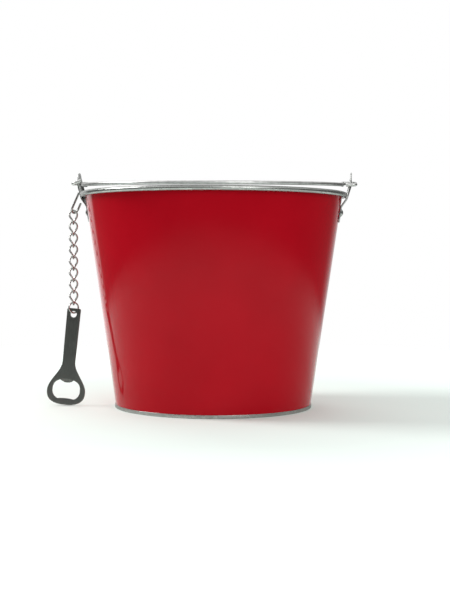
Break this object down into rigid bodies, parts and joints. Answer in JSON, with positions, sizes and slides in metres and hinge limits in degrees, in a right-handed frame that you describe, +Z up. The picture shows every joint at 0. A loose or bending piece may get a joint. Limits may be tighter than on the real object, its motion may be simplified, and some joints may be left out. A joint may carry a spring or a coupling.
{
  "type": "party bucket",
  "caption": "Round tapered sheet-steel bucket with a rolled rim, a swinging wire bail on riveted ears, and a bottle opener hung from one ear on a curb chain.",
  "frame": {"origin": "on the bucket's axis, on the surface that it stands on", "axes": "+Z up, +X from the chain's ear through the bucket's axis to the other ear, -Y towards the side of the rim that the bail rests on"},
  "size_m": [0.2672, 0.23, 0.2022],
  "materials": {
    "red_paint": "gloss paint on sheet steel, bare zinc inside",
    "galvanised": "satin zinc-coated steel",
    "bright_wire": "bright nickel-plated wire",
    "dark_steel": "satin dark-plated steel"
  },
  "bodies": {
    "bucket": {"bucket_wall": "red_paint", "rim_hoop": "galvanised", "rim_wire": "galvanised", "base_pan": "galvanised", "base_hoop": "galvanised", "ear_left": "galvanised", "ear_right": "galvanised", "rivets_left": "galvanised", "rivets_right": "galvanised"},
    "bail": {"bail_handle": "bright_wire"},
    "hook": {"chain_hook": "bright_wire"},
    "link_1": {"chain_link_1": "bright_wire"},
    "link_2": {"chain_link_2": "bright_wire"},
    "link_3": {"chain_link_3": "bright_wire"},
    "link_4": {"chain_link_4": "bright_wire"},
    "link_5": {"chain_link_5": "bright_wire"},
    "link_6": {"chain_link_6": "bright_wire"},
    "link_7": {"chain_link_7": "bright_wire"},
    "link_8": {"chain_link_8": "bright_wire"},
    "ring": {"opener_ring": "bright_wire"},
    "opener": {"bottle_opener": "dark_steel"}
  },
  "joints": [
    {"name": "bail_swing", "type": "hinge", "parent": "bucket", "child": "bail", "pos_m": [0, 0, 0.1929], "axis": [-1, 0, 0], "range_deg": [0, 173]},
    {"name": "hook_swing", "type": "hinge", "parent": "bucket", "child": "hook", "pos_m": [-0.11578, -0.0055, 0.18375], "axis": [0, 1, 0], "range_deg": [-3, 24]},
    {"name": "link_1_swing", "type": "hinge", "parent": "hook", "child": "link_1", "pos_m": [-0.12306, -0.00177, 0.16949], "axis": [-0.9849, -0.1732, -0.0051], "range_deg": [-8, 14]},
    {"name": "link_2_swing", "type": "hinge", "parent": "link_1", "child": "link_2", "pos_m": [-0.12285, -0.0026, 0.15768], "axis": [-0.1724, 0.9824, -0.0717], "range_deg": [-8, 28]},
    {"name": "link_3_swing", "type": "hinge", "parent": "link_2", "child": "link_3", "pos_m": [-0.12271, -0.00317, 0.14945], "axis": [-0.9849, -0.1732, -0.0051], "range_deg": [-25, 25]},
    {"name": "link_4_swing", "type": "hinge", "parent": "link_3", "child": "link_4", "pos_m": [-0.1225, -0.004, 0.13763], "axis": [-0.1724, 0.9824, -0.0717], "range_deg": [-10, 28]},
    {"name": "link_5_swing", "type": "hinge", "parent": "link_4", "child": "link_5", "pos_m": [-0.12236, -0.00458, 0.1294], "axis": [-0.9849, -0.1732, -0.0051], "range_deg": [-25, 25]},
    {"name": "link_6_swing", "type": "hinge", "parent": "link_5", "child": "link_6", "pos_m": [-0.12215, -0.0054, 0.11758], "axis": [-0.1724, 0.9824, -0.0717], "range_deg": [-12, 28]},
    {"name": "link_7_swing", "type": "hinge", "parent": "link_6", "child": "link_7", "pos_m": [-0.12201, -0.00598, 0.10935], "axis": [-0.9849, -0.1732, -0.0051], "range_deg": [-25, 25]},
    {"name": "link_8_swing", "type": "hinge", "parent": "link_7", "child": "link_8", "pos_m": [-0.1218, -0.00681, 0.09753], "axis": [-0.1724, 0.9824, -0.0717], "range_deg": [-14, 28]},
    {"name": "ring_swing", "type": "hinge", "parent": "link_8", "child": "ring", "pos_m": [-0.12163, -0.00751, 0.08751], "axis": [-0.1724, 0.9824, -0.0717], "range_deg": [-15, 22]},
    {"name": "opener_swing", "type": "hinge", "parent": "ring", "child": "opener", "pos_m": [-0.1215, -0.00801, 0.08023], "axis": [-0.7667, -0.6412, 0.0315], "range_deg": [-8, 8]}
  ]
}
